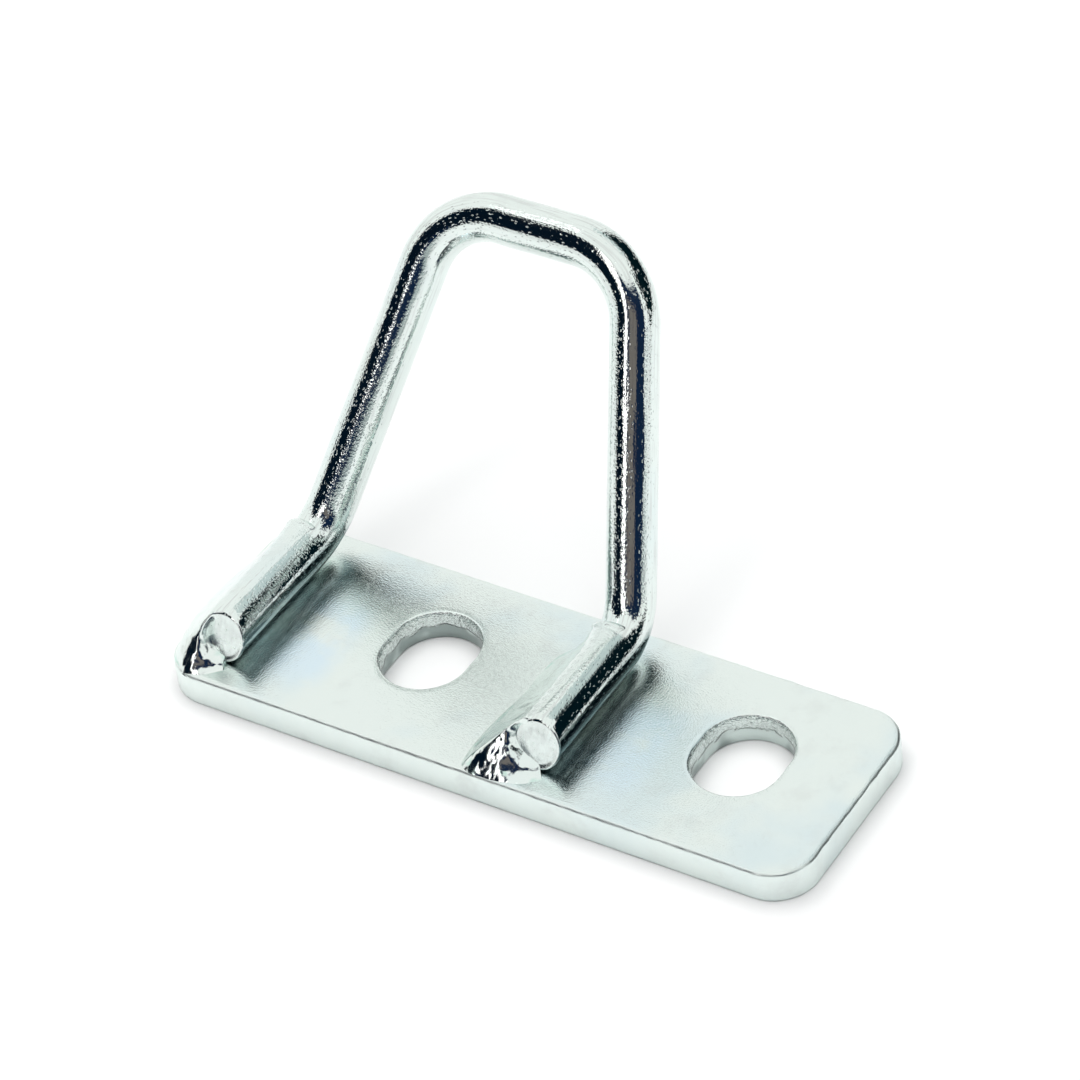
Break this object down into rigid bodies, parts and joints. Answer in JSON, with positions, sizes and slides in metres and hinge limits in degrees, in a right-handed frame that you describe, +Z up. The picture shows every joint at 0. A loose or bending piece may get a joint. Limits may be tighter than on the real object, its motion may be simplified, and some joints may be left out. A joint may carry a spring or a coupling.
{
  "type": "pad eye",
  "caption": "Welded pad eye: a flat slotted base plate with a bent round-bar loop that leans out over the plate's long edge, for hooks, shackles and straps.",
  "frame": {"origin": "centre of the base plate's flat underside", "axes": "+X along the plate's long side, from the loop's end towards the free slot; +Y across the plate towards the side that the loop leans over; +Z up, out of the plate"},
  "size_m": [0.088, 0.0525, 0.0475],
  "materials": {
    "plate": "bright zinc plated steel, satin, with faint rolling haze and small scratches",
    "loop": "bright zinc plated drawn steel bar, glossy, with fine lengthways draw marks",
    "weld": "bright zinc plated weld metal, glossy and uneven"
  },
  "bodies": {
    "root": {"base_plate": "plate", "wire_loop": "loop", "left_side_weld": "weld", "left_end_weld": "weld", "right_side_weld": "weld", "right_end_weld": "weld"}
  },
  "joints": []
}
